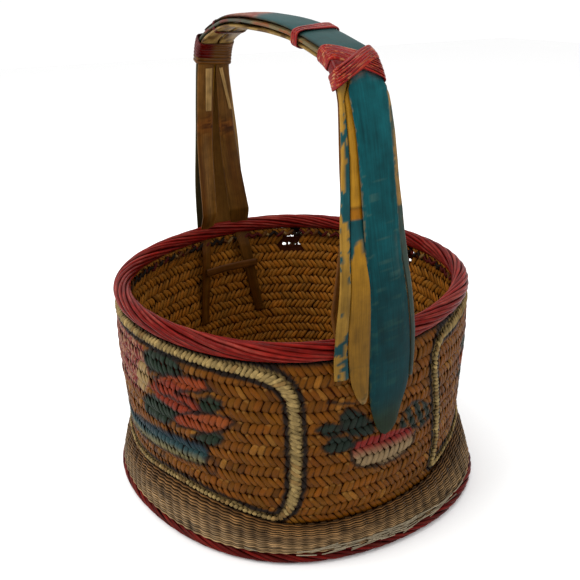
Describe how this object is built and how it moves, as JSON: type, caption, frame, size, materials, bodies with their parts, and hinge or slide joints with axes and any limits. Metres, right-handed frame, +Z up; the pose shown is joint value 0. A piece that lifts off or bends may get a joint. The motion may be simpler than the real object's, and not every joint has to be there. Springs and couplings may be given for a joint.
{
  "type": "woven fruit basket",
  "caption": "Round twined bamboo basket with painted panels, twisted red rim, flared foot skirt and a tall fixed arched handle for carrying fruit.",
  "frame": {"origin": "centre of the foot's lowest face, at the bottom of the bounding box", "axes": "+Z up; the fixed handle arches over the basket in the XZ plane with its legs at +X and -X; the painted panels face -Y and +Y"},
  "size_m": [0.3022, 0.3076, 0.3886],
  "materials": {
    "weave": "orange-brown twined bamboo splints, satin with painted motifs",
    "weave_floor": "orange-brown woven bamboo, satin",
    "skirt": "pale tan fine bamboo weavers, matte",
    "hoop": "plain bamboo hoop, satin",
    "red_cane": "cane strands painted deep red, worn gloss",
    "dark_cane": "dark stained cane ends, matte",
    "cream_border": "cream painted splints, worn",
    "teal_paint": "flat bamboo board painted teal, worn satin",
    "worn_teal": "bamboo strip with flaking teal paint over ochre",
    "ochre_bamboo": "bamboo strip varnished ochre yellow",
    "brown_bamboo": "natural bamboo strip darkened with age, satin",
    "pale_bamboo": "pale shaved bamboo",
    "red_binding": "flat cane binding, glossy red"
  },
  "bodies": {
    "root": {"back_panel_border": "cream_border", "binding_back_ring": "red_binding", "binding_back_wrap": "red_binding", "binding_front_lower": "red_binding", "binding_front_upper": "red_binding", "binding_mid_ring": "red_binding", "body_floor": "weave_floor", "body_wall_weave": "weave", "foot_hoop": "hoop", "foot_rope_strand_1": "red_cane", "foot_rope_strand_2": "red_cane", "foot_skirt": "skirt", "front_panel_border": "cream_border", "handle_back_blade": "teal_paint", "handle_front_blade": "teal_paint", "handle_inner_strip_left": "brown_bamboo", "handle_inner_strip_right": "brown_bamboo", "handle_side_strip_a": "worn_teal", "handle_side_strip_b": "ochre_bamboo", "handle_side_strip_c": "ochre_bamboo", "handle_sliver_left": "pale_bamboo", "handle_sliver_right": "pale_bamboo", "handle_top_blade": "teal_paint", "inner_tie_back": "brown_bamboo", "inner_tie_front": "brown_bamboo", "rim_inner_binding": "dark_cane", "rim_rope_strand_1": "red_cane", "rim_rope_strand_2": "red_cane", "rim_rope_strand_3": "red_cane"}
  },
  "joints": []
}
